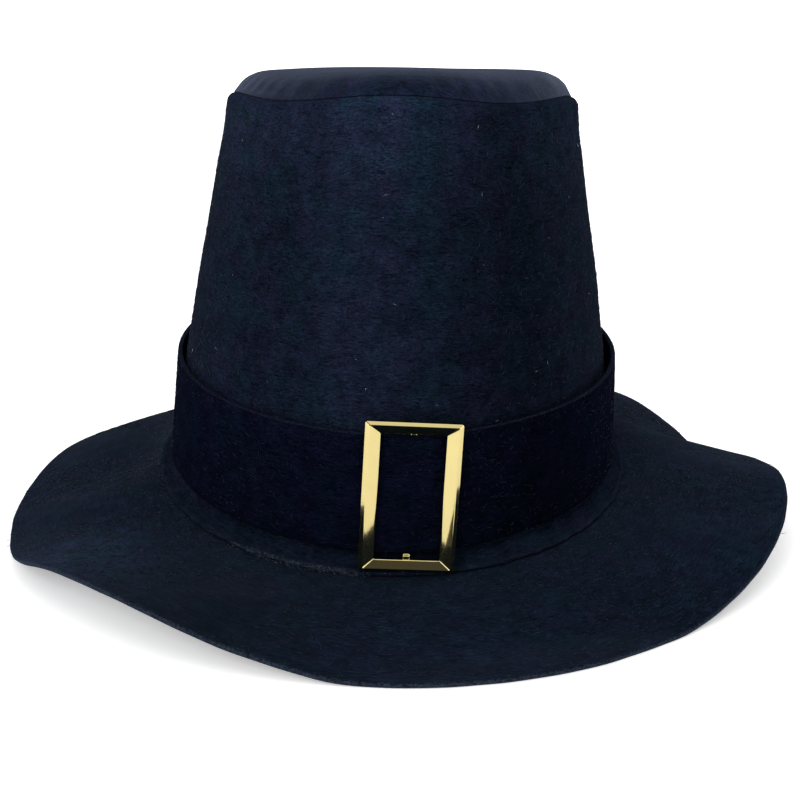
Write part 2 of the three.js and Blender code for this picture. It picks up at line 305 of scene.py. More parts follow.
def length_property(name, description, millimetres):
    """A length, with its default given in millimetres."""
    return FloatProperty(name=name, description=description, default=millimetres * MM, unit="LENGTH")


def angle_property(name, description, degrees):
    """An angle, with its default given in degrees."""
    return FloatProperty(name=name, description=description, default=math.radians(degrees), unit="ROTATION")


class HatSizes(PropertyGroup):
    """Sizes that a user would change. A change here goes with one in the solids."""

    felt: length_property("Felt", "Thickness of the felt", 1.8)
    piece_gap: length_property("Piece gap", "Gap between pieces", 0.35)
    head_half_width: length_property("Head half width", "Half width of the crown at its foot", 88)
    head_half_length: length_property("Head half length", "Half length of the crown at its foot", 106)
    crown_height: length_property("Crown height", "Height from brim to top seam", 143)
    top_half_width: length_property("Top half width", "Half width of the crown's top", 65)
    top_half_length: length_property("Top half length", "Half length of the crown's top", 78)
    crown_sway: length_property("Sway", "How far the crown's top stands to one side", 2.5)
    crown_lean: angle_property("Lean", "Forward lean of the crown", 6.9)
    foot_width: length_property("Foot", "Width of the crown's turned-out foot", 6)
    foot_bend: length_property("Foot bend", "Radius of the bend above the foot", 3)
    shoulder_inset: length_property("Shoulder inset", "How far the wall turns in at the seam", 2.4)
    shoulder_drop: length_property("Shoulder drop", "Height over which the wall turns in", 3.2)
    seam_wave: length_property("Seam wave", "Height of the top seam's waves", 1.2)
    tip_rise: length_property("Tip rise", "Height of the tip's dome", 9.9)
    band_height: length_property("Band height", "Height of the band", 39.5)
    band_rise: length_property("Band rise", "Height of the band's lower edge over the brim", 8.4)
    band_foot_gap: length_property("Band foot gap", "Stand-off of the band's lower edge", 0.5)
    band_top_gap: length_property("Band top gap", "Stand-off of the band's upper edge", 2.3)
    band_front_gap: length_property("Band front gap", "Stand-off of the band at the buckle", 2.1)
    brim_width: length_property("Brim width", "Width of the brim beyond the foot", 60)
    brim_root: length_property("Brim root", "Height of the brim's root over the floor", 23)
    floor_ease: length_property("Floor ease", "How softly the brim meets the floor", 1.5)
    rear_slack: length_property("Rear slack", "How far the brim sags at the rear left", 6.5)
    buckle_width: length_property("Buckle width", "Frame width", 32.6)
    buckle_height: length_property("Buckle height", "Frame height", 51.2)
    buckle_depth: length_property("Buckle depth", "Frame depth", 3.2)
    buckle_stile: length_property("Buckle sides", "Width of the upright bars", 5.3)
    buckle_rail: length_property("Buckle ends", "Width of the level bars", 4)
    buckle_centre: length_property("Buckle height on band", "Height of the buckle's centre", 27.6)
    buckle_azimuth: angle_property("Buckle azimuth", "Where the buckle sits", 273.9)
    buckle_turn: angle_property("Buckle turn", "Clockwise turn of the buckle", 3.4)
    nap_count: IntProperty(name="Nap fibres", description="Loose fibres on the crown wall", default=15000)


def linear(hex_colour):
    """sRGB hex value to linear red, green and blue."""
    srgb = np.array([int(hex_colour[i : i + 2], 16) for i in (1, 3, 5)]) / 255
    return tuple(np.where(srgb <= 0.04045, srgb / 12.92, ((srgb + 0.055) / 1.055) ** 2.4))


def colour_property(name, description, hex_colour):
    """A colour, with its default given as an sRGB hex value."""
    return FloatVectorProperty(
        name=name, description=description, subtype="COLOR", size=3, min=0, max=1, default=linear(hex_colour)
    )


class HatColours(PropertyGroup):
    """Colours that a user would change."""

    crown: colour_property("Crown", "Felt of the crown", "#0e1420")
    tip: colour_property("Tip", "Felt of the crown's tip", "#0e1424")
    band: colour_property("Band", "Felt of the band", "#070a17")
    brim: colour_property("Brim", "Felt of the brim", "#0a121e")
    raw_edge: colour_property("Raw edge", "Cut edges of the felt", "#333a46")
    fibre: colour_property("Fibre", "Loose fibres of the nap", "#222d42")
    fray: colour_property("Fray", "Frayed fibres along the foot", "#8a8f98")
    gilt: colour_property("Gilt", "Polished gilt of the buckle", "#cfbf84")
    floor: colour_property("Floor", "Pale floor", "#f4f4f4")


# Shapes

def through_rows(rows, at, period=None):
    """Values of a table: a cubic between two rows, with its slopes taken from the rows on either side."""
    x, y = np.array(rows, float).T
    at = np.asarray(at, float)
    if period:
        x = np.concatenate([x[-2:] - period, x, x[:3] + period])
        y = np.concatenate([y[-2:], y, y[:3]])
        at = at % period
    last = len(x) - 1
    i = np.clip(np.searchsorted(x, at, side="right") - 1, 0, last - 1)
    before = np.maximum(i - 1, 0)
    after = np.minimum(i + 2, last)
    span = x[i + 1] - x[i]
    s = (at - x[i]) / span
    slope_1 = (y[i + 1] - y[before]) / (x[i + 1] - x[before]) * span
    slope_2 = (y[after] - y[i]) / (x[after] - x[i]) * span
    return (
        (2 * s**3 - 3 * s**2 + 1) * y[i]
        + (s**3 - 2 * s**2 + s) * slope_1
        + (3 * s**2 - 2 * s**3) * y[i + 1]
        + (s**3 - s**2) * slope_2
    )


def ease(x, low, high):
    """Smooth step from 0 at low to 1 at high."""
    t = np.clip((x - low) / (high - low), 0, 1)
    return t * t * (3 - 2 * t)


def seam_height(s, azimuth):
    """Height of the top seam: level over the floor, so it rises to the front of the leaning crown, with
    five waves."""
    fall = s.top_half_length * np.sin(azimuth) * math.tan(s.crown_lean)
    wave = s.seam_wave * np.cos(5 * (azimuth - math.radians(232)))
    return s.crown_height - fall - wave


def crown_dents(azimuth, share):
    """Slow hollows of the wall: a sum of sine waves round and up it, none behind the band or at the
    seam."""
    total = 0
    for around, up, depth, phase in CROWN_DENTS:
        total = total + depth * MM * np.sin(around * azimuth + phase) * np.cos(TURN * up * share + 2 * phase)
    return total * ease(share, 0.36, 0.55) * (1 - ease(share, 0.9, 1.0))


def crown_point(s, azimuth, z, offset):
    """Point of the crown's ellipse at a height, moved outwards by an offset."""
    azimuth, z, offset = np.broadcast_arrays(azimuth, z, offset)
    share = z / seam_height(s, azimuth)
    taper = through_rows(CROWN_PROFILE, np.clip(share, -0.05, 1.02))
    offset = offset + crown_dents(azimuth, share)
    half_width = s.head_half_width + (s.top_half_width - s.head_half_width) * taper + offset
    half_length = s.head_half_length + (s.top_half_length - s.head_half_length) * taper + offset
    x = half_width * np.cos(azimuth) + s.crown_sway * share
    return np.stack([x, half_length * np.sin(azimuth), z], -1)


def leaning(s, points):
    """Points of the crown turned about X by its lean, and lifted by the root's height."""
    y, z = points[..., 1], points[..., 2]
    c, n = math.cos(s.crown_lean), math.sin(s.crown_lean)
    return np.stack([points[..., 0], y * c - z * n, y * n + z * c + s.brim_root], -1)


def lean_over(s, points):
    """Leaning points of the crown, put in the frame."""
    return leaning(s, points) + frame_shift(s)


def plan_normal(azimuth, half_width, half_length):
    """Outward direction of an ellipse, in plan."""
    x, y = half_length * np.cos(azimuth), half_width * np.sin(azimuth)
    length = np.hypot(x, y)
    return np.stack([x / length, y / length, 0 * length], -1)


def settle(height, soft):
    """A height that fades to zero where it would go below the floor."""
    eased = (height + soft) ** 2 / (4 * soft)
    return np.where(height <= -soft, 0, np.where(height >= soft, height, eased))


def raw_brim_top(s, azimuth, share):
    """Upper face of the brim before the frame's shift. share is 0 at the foot's edge, 1 at the brim's
    edge and -1 at the head opening. Beyond the foot the surface leaves in the foot's plane and bends down
    to its edge height; at the rear left it also sags by slack * (1 - (1 - share)^6) * (1 - share)."""
    azimuth, share = np.broadcast_arrays(azimuth, share)
    foot = flat_ring(s, azimuth, s.foot_width)
    opening = flat_ring(s, azimuth, -s.felt)
    under_foot = foot + (opening - foot) * np.clip(-share, 0, 1)[..., None]
    out = np.clip(share, 0, None)
    normal = plan_normal(azimuth, s.head_half_width + s.foot_width, s.head_half_length + s.foot_width)
    height = s.brim_width * through_rows(BRIM_EDGE, np.degrees(azimuth), 360) + s.felt
    drop = height - foot[..., 2]
    width = s.brim_width * through_rows(BRIM_CUT, np.degrees(azimuth), 360)
    reach = np.sqrt(width**2 - drop**2)
    start = normal[..., 1] * math.tan(s.crown_lean) * reach
    z = foot[..., 2] + start * out + (drop - start) * out**1.45
    turned = np.mod(azimuth, TURN)
    start_slack, full_slack, last_slack, end_slack = np.radians(SLACK_SPAN)
    slack = ease(turned, start_slack, full_slack) * (1 - ease(turned, last_slack, end_slack))
    z = z - s.rear_slack * slack * (1 - (1 - out) ** 6) * (1 - out)
    beyond = foot + normal * (reach * out)[..., None]
    beyond[..., 2] = z
    return np.where((share > 0)[..., None], beyond, under_foot)


def flat_ring(s, azimuth, offset):
    """Ring of the crown's foot plane, leaning, before the frame's shift."""
    return leaning(s, crown_point(s, azimuth, 0.0, offset))


_shift = {}


def frame_shift(s):
    """What puts the brim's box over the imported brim's, in plan. It is worked out once."""
    if "value" not in _shift:
        azimuth = np.linspace(0, TURN, 61)[:-1]
        edge = raw_brim_top(s, azimuth, 1.0)
        low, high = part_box("brim")
        middle = (edge.min(0) + edge.max(0)) / 2
        _shift["value"] = np.array([(low.x + high.x) / 2 - middle[0], (low.y + high.y) / 2 - middle[1], 0])
    return _shift["value"]


def brim_top(s, azimuth, share):
    """Upper face of the brim in the frame, before it settles on the floor."""
    return raw_brim_top(s, azimuth, share) + frame_shift(s)


def band_gap(s, azimuth, share):
    """Stand-off of the band at a share of its height: it opens upwards, and is even at the buckle."""
    stand = s.band_top_gap * through_rows(BAND_STAND, np.degrees(azimuth), 360)
    open_gap = s.band_foot_gap + (stand - s.band_foot_gap) * share
    away = np.abs(azimuth - s.buckle_azimuth)
    even = ease(away, math.radians(10), math.radians(26))
    return s.band_front_gap + (open_gap - s.band_front_gap) * even


def band_point(s, azimuth, share, outwards):
    """Point of the band at a share of its height: the crown's ellipse, moved out by the band's
    stand-off."""
    azimuth, share, outwards = np.broadcast_arrays(azimuth, share, outwards)
    offset = band_gap(s, azimuth, share) + outwards
    return crown_point(s, azimuth, s.band_rise + s.band_height * share, offset)


# Meshes

def mesh_object(name, points, faces, uvs=None, attributes=None):
    """Puts points and faces into a new mesh. faces is an array of quads or triangles, uvs one pair per
    corner."""
    mesh = bpy.data.meshes.new(name)
    count = faces.shape[1]
    mesh.vertices.add(len(points))
    mesh.vertices.foreach_set("co", points.astype(np.float32).ravel())
    mesh.loops.add(faces.size)
    mesh.loops.foreach_set("vertex_index", faces.astype(np.int32).ravel())
    mesh.polygons.add(len(faces))
    mesh.polygons.foreach_set("loop_start", np.arange(0, faces.size, count, dtype=np.int32))
    mesh.update(calc_edges=True)
    mesh.polygons.foreach_set("use_smooth", np.full(len(faces), True))
    if uvs is not None:
        layer = mesh.uv_layers.new(name="felt")
        layer.data.foreach_set("uv", uvs.astype(np.float32).ravel())
    for key, values in (attributes or {}).items():
        attribute = mesh.attributes.new(key, "FLOAT", "POINT")
        attribute.data.foreach_set("value", values.astype(np.float32).ravel())
    mesh.validate()
    made = bpy.data.objects.new(name, mesh)
    bpy.context.scene.collection.objects.link(made)
    return made


def loop_quads(turns, size):
    """Quads of a grid that closes both ways, as an array of turns by size by four corners."""
    i, j = np.meshgrid(np.arange(turns), np.arange(size), indexing="ij")
    next_i, next_j = (i + 1) % turns, (j + 1) % size
    return np.stack([i * size + j, next_i * size + j, next_i * size + next_j, i * size + next_j], -1)


def ring_grid(name, points, around, cut, painted_shading):
    """Closed ring from a grid: first index round the hat, second round the section's loop. The UV map
    runs round the hat in metres at a mean radius, and along the section by its arc length."""
    turns, size = points.shape[:2]
    i, j = np.meshgrid(np.arange(turns), np.arange(size), indexing="ij")
    faces = loop_quads(turns, size)
    closed = np.concatenate([points, points[:, :1]], 1)
    steps = np.linalg.norm(np.diff(closed, axis=1), axis=2).mean(0)
    along = np.concatenate([[0], np.cumsum(steps)])
    u = np.arange(turns + 1) / turns * around
    corners = [(i, j), (i + 1, j), (i + 1, j + 1), (i, j + 1)]
    uvs = np.stack([np.stack([u[a], along[b]], -1) for a, b in corners], 2)
    attributes = {"cut": np.broadcast_to(cut, (turns, size)), "painted_shading": np.broadcast_to(painted_shading, (turns, size))}
    return mesh_object(name, points.reshape(-1, 3), faces.reshape(-1, 4), uvs.reshape(-1, 2), attributes)


def arc(start, end, steps):
    """Quarter turn between two (offset, height) pairs: it leaves the first upright and meets the second
    level."""
    t = np.linspace(0, math.pi / 2, steps)
    return (
        start[0] + (end[0] - start[0]) * (1 - np.cos(t)),
        start[1] + (end[1] - start[1]) * np.sin(t),
    )


def crown_wall_points(s, turns=288):
    """Grid of the crown wall: the section's loop goes from the foot's edge up the wall, round the
    shoulder, and down the inside to the foot's underside. Heights are a share between foot and seam, and
    offsets are from the wall."""
    azimuth = np.arange(turns)[:, None] / turns * TURN
    top = seam_height(s, azimuth)
    foot_top = s.piece_gap + s.felt
    bend_top = foot_top + s.foot_bend
    wall_top = top - s.shoulder_drop
    rounded = 0.35 * s.felt
    fray = 0.35 * MM * np.sin(37 * azimuth) * np.sin(11 * azimuth + 1) + 0.2 * MM * np.sin(83 * azimuth + 2)

    def rows(heights, offsets):
        heights = np.broadcast_to(heights, (turns, np.shape(heights)[-1]))
        return heights, np.broadcast_to(offsets, heights.shape)

    outer = np.linspace(0, 1, 86)[None, 1:]
    inner = np.linspace(1, 0, 30)[None, :]
    bend_out, bend_up = arc((0.0, bend_top), (s.foot_bend, foot_top), 8)
    turn_t = np.linspace(0, math.pi / 2, 8)[None, 1:]
    parts = [
        rows(np.array([[s.piece_gap]]), s.foot_width - rounded + fray),
        rows(np.array([[s.piece_gap + rounded]]), s.foot_width + fray),
        rows(np.array([[foot_top - rounded]]), s.foot_width + fray),
        rows(np.array([[foot_top]]), s.foot_width - rounded + fray),
        rows(np.array([[foot_top]]), np.array([[(s.foot_width + s.foot_bend) / 2]])),
        rows(bend_up[None, ::-1], bend_out[None, ::-1]),
        rows(bend_top + (wall_top - bend_top) * outer, 0.0),
        rows(wall_top + s.shoulder_drop * np.sin(turn_t), -s.shoulder_inset * (1 - np.cos(turn_t))),
        rows(top - s.felt, -s.shoulder_inset - 0.6 * s.felt + 0 * top),
        rows(bend_top + (wall_top - bend_top) * inner, -s.felt),
        rows(np.array([[s.piece_gap]]), -s.felt),
    ]
    heights = np.concatenate([p[0] for p in parts], 1)
    offsets = np.concatenate([p[1] for p in parts], 1)
    frayed = ease(azimuth, 4.05, 4.2) * (1 - ease(azimuth, 4.5, 4.66)) * (0.6 + 0.4 * np.sin(71 * azimuth))
    cut = np.zeros(heights.shape[1])
    cut[:4] = (0.7, 1, 1, 0.7)
    cut = cut[None, :] * (0.12 + 0.7 * frayed)
    share = np.clip(heights / top, 0, 1)
    # Painted light and shade: the colour factor follows the table round the wall, from low on it upwards, and
    # grows lighter towards the top, which the overhead light catches.
    painted_by_azimuth = through_rows(CROWN_PAINTED_SHADING, np.degrees(azimuth), 360)
    painted_shading = (1 + (painted_by_azimuth - 1) * ease(share, 0.1, 0.4)) * (1 + 0.55 * ease(share, 0.72, 1.0))
    return lean_over(s, crown_point(s, azimuth, heights, offsets)), cut, painted_shading


def tip_points(s, turns=288):
    """Rings of the tip from the middle of its underside out to the seam and in over the top. Each is the
    seam's ring drawn in to its reach and raised by the tip's rise, with puckers at the seam and slow
    dents on top."""
    rounding = 0.9 + 0.1 * np.sin(np.linspace(0, math.pi / 2, 14))[1:]
    reach = np.concatenate([np.linspace(0.03, 0.9, 24), rounding])
    rise = through_rows(TIP_PROFILE, reach)
    reach_all = np.concatenate([reach, reach[::-1]])
    rise_all = np.concatenate([rise, rise[::-1]])
    over = np.concatenate([np.zeros(len(reach)), np.ones(len(reach))])
    azimuth = np.arange(turns)[None, :] / turns * TURN
    inset = s.shoulder_inset + s.felt * (1 - over)[:, None]
    top = seam_height(s, azimuth)
    rim = crown_point(s, azimuth, top, -inset)
    tilt = math.tan(s.crown_lean)
    reach_all, rise_all, over = reach_all[:, None], rise_all[:, None], over[:, None]
    level = s.crown_height - rim[..., 1] * tilt * reach_all
    wave = top - (s.crown_height - rim[..., 1] * tilt)
    x = (rim[..., 0] - s.crown_sway) * reach_all + s.crown_sway
    y = rim[..., 1] * reach_all
    dents = 0.9 * MM * x / s.top_half_width
    for across, along, depth, phase in TIP_DENTS:
        dents = dents + depth * MM * np.sin((across * x + along * y) / s.top_half_width * math.pi + phase)
    pucker = 0.22 * MM * np.sin(41 * azimuth + 3 * np.sin(5 * azimuth)) * ease(reach_all, 0.88, 0.97)
    lift = s.tip_rise * rise_all + (dents + pucker) * (1 - ease(reach_all, 0.96, 1.0))
    thickness = s.felt * (1 - over) * ease(1 - reach_all, 0.0, 0.02)
    turned_down = 1.0 * MM * (1 - over) * ease(reach_all, 0.97, 1.0)
    z = level + wave * reach_all**6 + s.piece_gap + lift - thickness - turned_down
    return lean_over(s, np.stack([x, y, z], -1))


def dome_mesh(name, rings):
    """Closed cap from rings, with a fan at each pole. Its UV map is the plan, in metres."""
    points, faces = capped_rings(rings)
    return mesh_object(name, points, faces, points[faces.ravel(), :2], {"painted_shading": np.ones(len(points))})


def band_points(s, turns=288):
    """Grid of the band: up the outside, over the rounded upper edge, down the inside and round the lower
    edge."""
    azimuth = np.arange(turns)[:, None] / turns * TURN
    t = np.linspace(0, 1, 22)
    rounded = np.linspace(0, math.pi, 7)[1:-1]
    edge_out = s.felt / 2 + s.felt / 2 * np.cos(rounded)
    edge_up = 0.35 * s.felt / s.band_height * np.sin(rounded)
    share = np.concatenate([t, 1 + edge_up, t[::-1], -edge_up])
    out = np.concatenate([np.full(22, s.felt), edge_out, np.zeros(22), edge_out[::-1]])
    share = np.clip(share, 0, 1) + (share - np.clip(share, 0, 1)) * 0.4
    cut = np.concatenate([np.zeros(22), np.ones(5), np.zeros(22), np.ones(5)])
    sag = 0.25 * MM * np.sin(7 * azimuth + 1) * np.sin(math.pi * np.clip(share, 0, 1))
    # Painted shade: the band is darker at its front right, away from the key light.
    painted_shading = 1 - 0.45 * np.exp(-(((azimuth - 5.32) / 0.36) ** 2))
    return lean_over(s, band_point(s, azimuth, share[None, :], out[None, :] + 0.5 * sag)), cut * 0.35, painted_shading


def brim_grid_points(s, turns=360):
    """Grid of the brim: under the foot and out along the underside, round the cut edge, and back along
    the top. The underside is one felt thickness below the top along its normal, and both settle on the
    floor."""
    azimuth = np.arange(turns)[:, None] / turns * TURN
    out = 1 - (1 - np.linspace(0, 1, 60)) ** 1.15
    shares = np.concatenate([[-1.0, -0.6, -0.2], out])[None, :]
    top = brim_top(s, azimuth, shares)
    step = 1e-3
    along = brim_top(s, azimuth, shares + step) - brim_top(s, azimuth, shares - step)
    around = brim_top(s, azimuth + step, shares) - brim_top(s, azimuth - step, shares)
    normal = np.cross(along, around)
    normal /= np.linalg.norm(normal, axis=-1, keepdims=True)
    ripple = brim_ripple(azimuth, shares)
    top = top + normal * ripple[..., None]
    under = top - normal * s.felt
    wobble = 0.08 * MM * (np.sin(29 * azimuth + 1) * np.sin(7 * azimuth) + 0.6 * np.sin(61 * azimuth + 2.5))
    plan = plan_normal(azimuth[:, 0], s.head_half_width, s.head_half_length)[:, None, :]
    edge = np.linspace(0, math.pi, 6)[1:-1]
    depth = s.felt * (1 + np.cos(edge)) / 2
    bulge = 0.25 * s.felt * np.sin(edge)
    rim = top[:, -1:] - normal[:, -1:] * depth[None, :, None] + plan * bulge[None, :, None]
    far = ease(shares, 0.9, 1.0)[..., None] * wobble[..., None] * plan
    top, under, rim = top + far, under + far, rim + wobble[..., None] * plan
    top[..., 2] = s.felt + settle(top[..., 2] - s.felt, s.floor_ease)
    under[..., 2] = settle(under[..., 2], s.floor_ease)
    low, high = under[:, -1:, 2], top[:, -1:, 2]
    rim[..., 2] = low + (high - low) * (s.felt - depth)[None, :] / s.felt
    points = np.concatenate([under, rim[:, ::-1], top[:, ::-1]], 1)
    cut = np.concatenate([np.zeros(63), np.ones(4), np.zeros(63)])
    cut[[62, 67]] = 0.5
    # Painted light and shade: lighter and darker bands round the brim where its creases face or turn from the
    # light, growing from the foot outwards.
    out_share = np.concatenate([shares[0], np.ones(4), shares[0, ::-1]])[None, :]
    painted_by_azimuth = through_rows(BRIM_PAINTED_SHADING, np.degrees(azimuth), 360)
    painted_shading = 1 + (painted_by_azimuth - 1) * ease(out_share, 0.1, 0.65)
    return points, cut, painted_shading


def brim_ripple(azimuth, share):
    """Soft unevenness of the brim: sine waves round it that grow outwards from the foot."""
    wave = 0.5 * np.sin(9 * azimuth + 0.7) + 0.35 * np.sin(14 * azimuth + 2.2 + 2 * share)
    fine = 0.2 * np.sin(23 * azimuth + 5 * share)
    return MM * (wave + fine) * ease(share, 0.05, 0.6) * (1 - 0.8 * ease(share, 0.6, 1.0)) * 0.6


def buckle_frame_points(s, corner_steps=5, side_steps=14):
    """Grid of the buckle's frame: the bevelled section carried round a rounded rectangle. Local y = 0 is
    its back."""
    across, depth = np.array(BUCKLE_SECTION, float).T
    quarter = np.linspace(0, math.pi / 2, corner_steps)
    rings = []
    for a, d in zip(across, depth):
        half_x = s.buckle_width / 2 - a * s.buckle_stile
        half_z = s.buckle_height / 2 - a * s.buckle_rail
        radius = (0.7 - 0.4 * a) * MM
        path = []
        for k, (side_x, side_z) in enumerate([(1, -1), (1, 1), (-1, 1), (-1, -1)]):
            turned = quarter + (k - 1) * math.pi / 2
            path.append(np.stack([
                side_x * (half_x - radius) + radius * np.cos(turned),
                side_z * (half_z - radius) + radius * np.sin(turned),
            ], -1))
        loop = []
        for k in range(4):
            start, end = path[k][-1], path[(k + 1) % 4][0]
            t = np.linspace(0, 1, side_steps + 2)[1:-1, None]
            loop += [path[k], start + (end - start) * t]
        loop = np.concatenate(loop)
        rings.append(np.stack([loop[:, 0], np.full(len(loop), -d * s.buckle_depth), loop[:, 1]], -1))
    return np.stack(rings, 1)


def tube_between(path, half_across, half_thick, sides=12):
    """Closed flat bar along a path in the Y-Z plane: a rounded section turned square to the path at each
    point."""
    path = np.asarray(path, float)
    tangent = np.gradient(path, axis=0)
    tangent /= np.linalg.norm(tangent, axis=1, keepdims=True)
    side = np.array([1.0, 0.0, 0.0])
    normal = np.cross(tangent, side)
    angle = np.arange(sides) / sides * TURN + TURN / sides / 2
    power = 0.45
    wide = np.sign(np.cos(angle)) * np.abs(np.cos(angle)) ** power * half_across
    thick = np.sign(np.sin(angle)) * np.abs(np.sin(angle)) ** power * half_thick
    return path[:, None] + side * wide[None, :, None] + normal[:, None] * thick[None, :, None]


def capped_rings(rings):
    """Points and triangles of rings joined in turn, with a fan at each end."""
    count, sides = rings.shape[:2]
    i, j = np.meshgrid(np.arange(count - 1), np.arange(sides), indexing="ij")
    k = (j + 1) % sides
    a, b, c, d = i * sides + j, i * sides + k, (i + 1) * sides + k, (i + 1) * sides + j
    faces = [np.stack([a, b, c], -1).reshape(-1, 3), np.stack([a, c, d], -1).reshape(-1, 3)]
    first, last = count * sides, count * sides + 1
    rim = np.arange(sides)
    faces.append(np.stack([np.full(sides, first), (rim + 1) % sides, rim], -1))
    end = (count - 1) * sides
    faces.append(np.stack([np.full(sides, last), end + rim, end + (rim + 1) % sides], -1))
    points = np.concatenate([rings.reshape(-1, 3), rings[:1].mean(1), rings[-1:].mean(1)])
    return points, np.concatenate(faces)


def buckle_matrix(s):
    """Place of the buckle: clockwise turn, lean of the band, round to its azimuth, and out to the band's
    face."""
    azimuth = np.array(s.buckle_azimuth)
    middle = (s.buckle_centre - s.band_rise) / s.band_height
    seat = band_point(s, azimuth, np.array(middle), np.array(s.felt))
    high = band_point(s, azimuth, np.array(1.0), np.array(s.felt))
    low = band_point(s, azimuth, np.array(0.0), np.array(s.felt))
    normal = plan_normal(azimuth, s.head_half_width, s.head_half_length)
    lean = math.atan2(float((high - low) @ normal), s.band_height)
    place = Vector(seat + normal * s.piece_gap)
    turn = (
        Matrix.Rotation(math.atan2(normal[0], -normal[1]), 4, "Z")
        @ Matrix.Rotation(lean, 4, "X")
        @ Matrix.Rotation(s.buckle_turn, 4, "Y")
    )
    over = Matrix.Translation((0, 0, s.brim_root)) @ Matrix.Rotation(s.crown_lean, 4, "X")
    return Matrix.Translation(Vector(frame_shift(s))) @ over @ Matrix.Translation(place) @ turn


def fibre_mesh(name, roots, directions, lengths, radii, bends, tones):
    """Loose fibres as one mesh of closed spindles: root point, a three-sided waist pushed aside by the
    bend, and tip."""
    count = len(roots)
    directions = directions / np.linalg.norm(directions, axis=1, keepdims=True)
    helper = np.where(np.abs(directions[:, 2:3]) > 0.9, [[1.0, 0, 0]], [[0, 0, 1.0]])
    side = np.cross(directions, helper)
    side /= np.linalg.norm(side, axis=1, keepdims=True)
    up = np.cross(side, directions)
    waist = roots + directions * (lengths * 0.5)[:, None] + bends
    angle = np.arange(3) / 3 * TURN
    ring = waist[:, None] + radii[:, None, None] * (
        side[:, None] * np.cos(angle)[None, :, None] + up[:, None] * np.sin(angle)[None, :, None]
    )
    tips = roots + directions * lengths[:, None]
    points = np.concatenate([roots[:, None], ring, tips[:, None]], 1)
    base = np.arange(count)[:, None, None] * 5
    pattern = np.array([[0, 2, 1], [0, 3, 2], [0, 1, 3], [4, 1, 2], [4, 2, 3], [4, 3, 1]])
    faces = (base + pattern[None]).reshape(-1, 3)
    return mesh_object(name, points.reshape(-1, 3), faces, attributes={"tone": np.repeat(tones, 5)})


def scatter_nap(name, surface, count, seed, length, lift, radius, flow, spread, sink=0.0):
    """Loose fibres over a surface given as a function of two shares: each lies along the flow direction,
    turned by a random angle in the surface and lifted a little off it."""
    rng = np.random.default_rng(seed)
    u, v = rng.random(count), rng.random(count)
    step = 1e-4
    here = surface(u, v)
    across = surface(u + step, v) - here
    along = surface(u, v + step) - here
    across /= np.linalg.norm(across, axis=1, keepdims=True)
    along -= across * np.sum(across * along, 1, keepdims=True)
    along /= np.linalg.norm(along, axis=1, keepdims=True)
    normal = np.cross(across, along)
    turned = flow(u, v) + rng.normal(0, spread, count)
    rise = np.abs(rng.normal(0, lift, count))
    lengths = length * (0.4 + rng.random(count))
    flat = across * np.cos(turned)[:, None] + along * np.sin(turned)[:, None]
    directions = flat * np.cos(rise)[:, None] + normal * np.sin(rise)[:, None]
    bends = (normal * 0.02 + np.cross(normal, flat) * rng.normal(0, 0.12, count)[:, None]) * lengths[:, None]
    roots = here - normal * sink
    return fibre_mesh(name, roots, directions, lengths, np.full(count, radius), bends, rng.random(count) ** 2)


# Materials

def node(tree, kind, links=None, **settings):
    """Adds a node. Settings are its own properties, and links are values or sockets for its inputs."""
    made = tree.nodes.new(kind)
    for key, value in settings.items():
        setattr(made, key, value)
    for key, value in (links or {}).items():
        if isinstance(value, bpy.types.NodeSocket):
            tree.links.new(value, made.inputs[key])
        else:
            made.inputs[key].default_value = value
    return made


def new_material(name):
    """A new material, its node tree and its shader."""
    material = bpy.data.materials.new(name)
    material.use_nodes = True
    tree = material.node_tree
    shader = next(n for n in tree.nodes if n.type == "BSDF_PRINCIPLED")
    return material, tree, shader


def opaque(colour, factor=1.0):
    """A colour times a factor, with full alpha."""
    return tuple(min(1.0, c * factor) for c in colour) + (1.0,)


def felt_streaks(tree, source, degrees, along_mm, across_mm):
    """Height of one lay of fibres: noise stretched along a direction, at a fibre's length and bundle
    width."""
    turned = node(tree, "ShaderNodeMapping", {
        "Vector": source,
        "Rotation": (0, 0, math.radians(degrees)),
        "Scale": (1 / (along_mm * MM), 1 / (across_mm * MM), 1 / (across_mm * MM)),
    })
    noise = node(tree, "ShaderNodeTexNoise", {
        "Vector": turned.outputs["Vector"],
        "Scale": 1.0,
        "Detail": 2.0,
        "Roughness": 0.55,
        "Distortion": 1.8,
    })
    return noise.outputs["Fac"]


